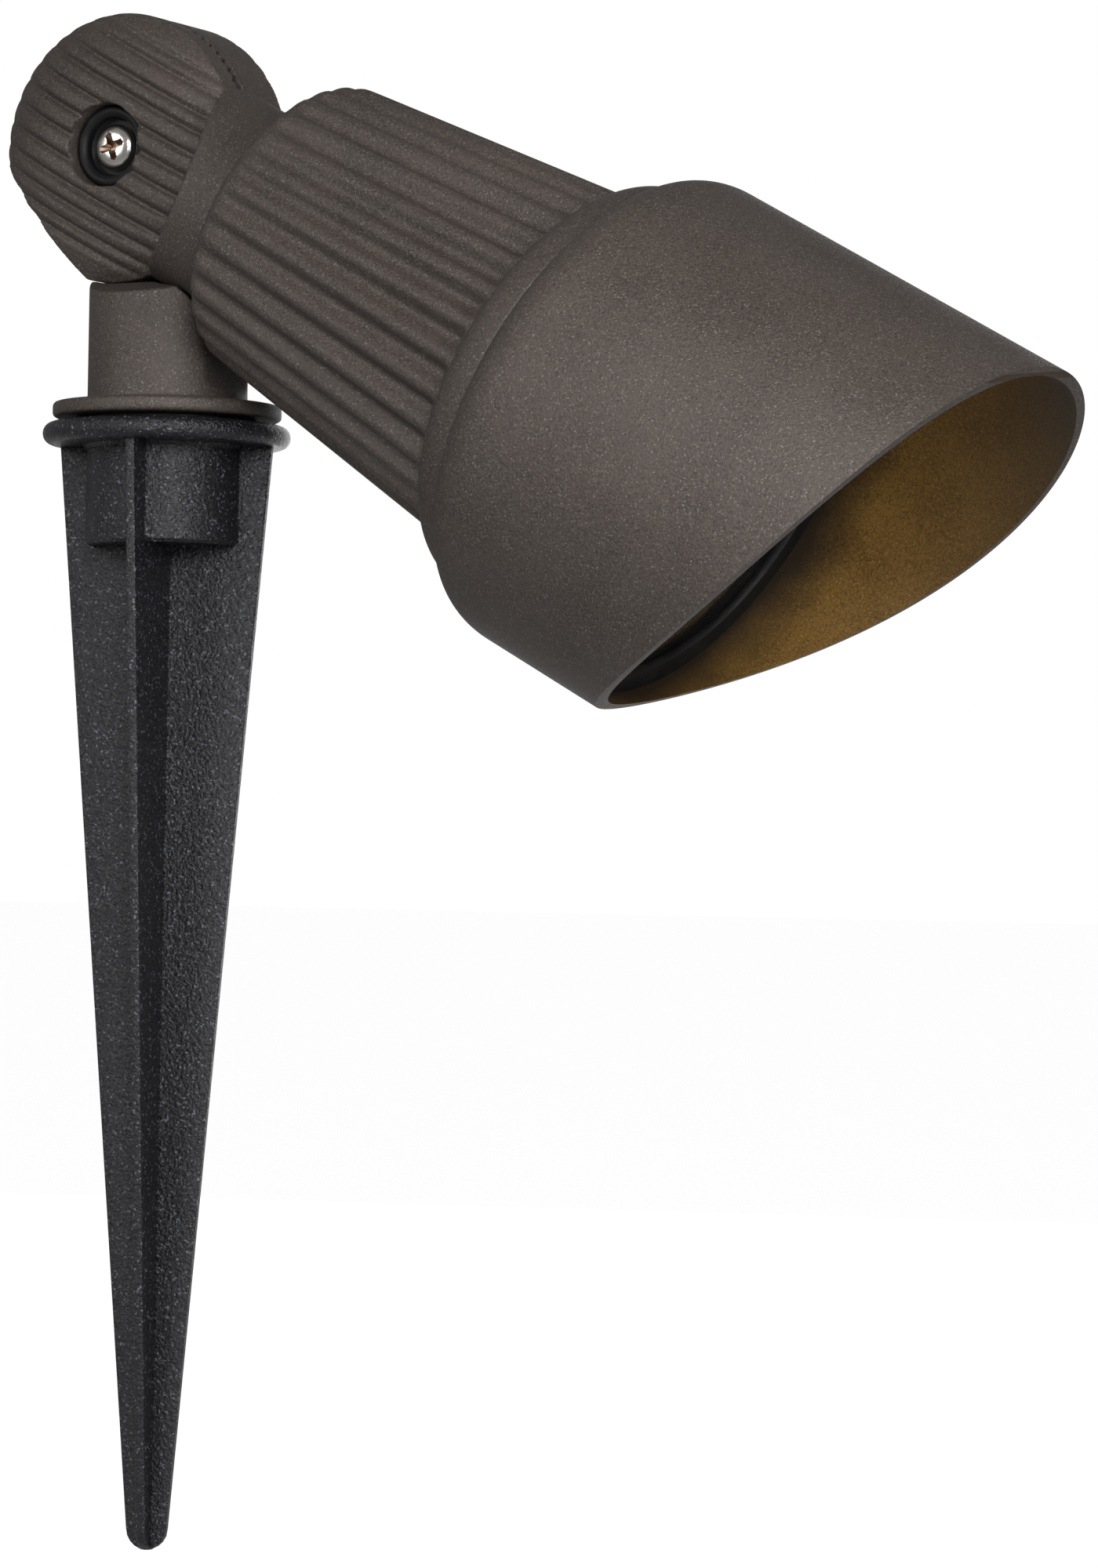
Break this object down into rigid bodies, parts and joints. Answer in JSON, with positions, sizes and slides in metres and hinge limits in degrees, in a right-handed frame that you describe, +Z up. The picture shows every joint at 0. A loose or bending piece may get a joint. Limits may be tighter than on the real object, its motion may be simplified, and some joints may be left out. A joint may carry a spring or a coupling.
{
  "type": "landscape spotlight",
  "caption": "Landscape spotlight on a ground spike: a fluted bronze barrel with a long-lipped hood over its lens tilts on a toothed knuckle above a round stem.",
  "frame": {"origin": "on the spike's axis at the ground line, the underside of the spike's flange", "axes": "+Z up along the spike's axis, the head points to +X and down, the knuckle turns about Y and its screw's head faces -Y"},
  "size_m": [0.2203, 0.0938, 0.2938],
  "materials": {
    "spike_plastic": "satin, fine grain",
    "black_rubber": "matte",
    "bronze_coat": "fine-textured dark bronze coat on a casting",
    "hood_coat": "fine-textured dark bronze coat outside, golden bronze inside",
    "nickel": "bright nickel",
    "steel": "zinc-plated",
    "lens_glass": "clear",
    "baffle_coat": "matte",
    "reflector": "polished",
    "lamp_glass": "clear",
    "ceramic": "matte",
    "lead_sleeve": "woven sleeve",
    "grommet_silicone": "matte"
  },
  "bodies": {
    "spike": {"ground_spike": "spike_plastic"},
    "stem": {"stem": "bronze_coat", "stem_gasket": "black_rubber", "stem_bush": "black_rubber", "knuckle_seal": "black_rubber", "knuckle_screw": "nickel", "lock_washer": "steel", "knuckle_nut": "steel"},
    "head": {"head_housing": "bronze_coat", "screw_cup": "black_rubber", "baffle_ring": "baffle_coat", "lamp_reflector": "reflector", "lamp_glass": "lamp_glass", "lamp_capsule": "lamp_glass", "lamp_base": "ceramic", "lamp_pins": "nickel", "lamp_socket": "ceramic", "socket_bracket": "steel", "bracket_screws": "steel", "lamp_leads": "lead_sleeve", "wire_grommet": "grommet_silicone"},
    "hood_seal": {"hood_o_ring": "black_rubber"},
    "hood": {"hood": "hood_coat", "lens": "lens_glass", "lens_ring": "black_rubber"}
  },
  "joints": [
    {"name": "stem_swivel", "type": "hinge", "parent": "spike", "child": "stem", "pos_m": [0, 0, 0], "axis": [0, 0, 1], "range_deg": [-180, 180]},
    {"name": "head_tilt", "type": "hinge", "parent": "stem", "child": "head", "pos_m": [-0.0083, 0, 0.0572], "axis": [0, -1, 0], "range_deg": [0, 120]},
    {"name": "hood_turn", "type": "hinge", "parent": "head", "child": "hood_seal", "pos_m": [-0.00663, 0, 0.06028], "axis": [0.8788, 0, -0.4772], "continuous": true},
    {"name": "hood_pull", "type": "slide", "parent": "hood_seal", "child": "hood", "axis": [0.8788, 0, -0.4772], "range_m": [0, 0.026]}
  ]
}
